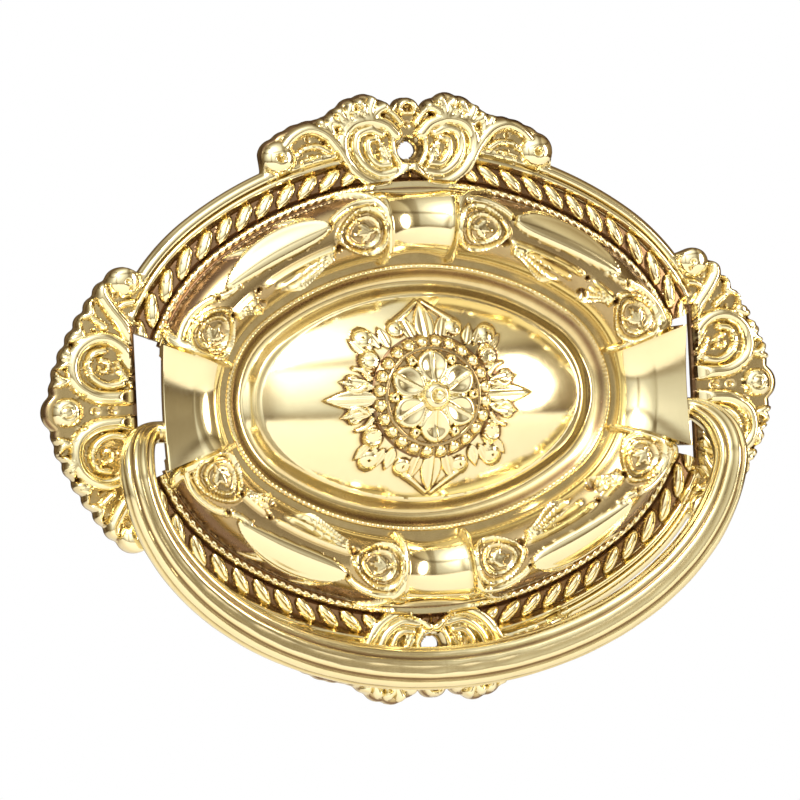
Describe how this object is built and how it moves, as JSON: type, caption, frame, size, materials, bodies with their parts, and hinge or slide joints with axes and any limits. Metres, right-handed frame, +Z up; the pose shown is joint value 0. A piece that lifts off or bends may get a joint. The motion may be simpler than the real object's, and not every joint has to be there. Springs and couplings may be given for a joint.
{
  "type": "bail pull",
  "caption": "Oval stamped brass bail pull with rope moulding, hollow ring, domed rosette, leafy crests and a swinging reeded bail.",
  "frame": {"origin": "on the back plane of the plate, at the middle between its two screw holes", "axes": "+Z up the face of the drawer, +X to the right seen from the front, -Y out of the drawer towards the hand"},
  "size_m": [0.1, 0.0112, 0.079],
  "materials": {
    "stamped_brass": "polished stamped brass with darker brown tarnish in the recesses",
    "cast_brass": "polished cast brass with fine scratches",
    "strap_brass": "dull bent brass strip"
  },
  "bodies": {
    "plate": {"back_plate": "stamped_brass", "bail_keeper_left": "strap_brass", "bail_keeper_right": "strap_brass"},
    "bail": {"bail": "cast_brass"}
  },
  "joints": [
    {"name": "bail_swing", "type": "hinge", "parent": "plate", "child": "bail", "pos_m": [0, -0.0038, -0.003], "axis": [-1, 0, 0], "range_deg": [0, 105]}
  ]
}
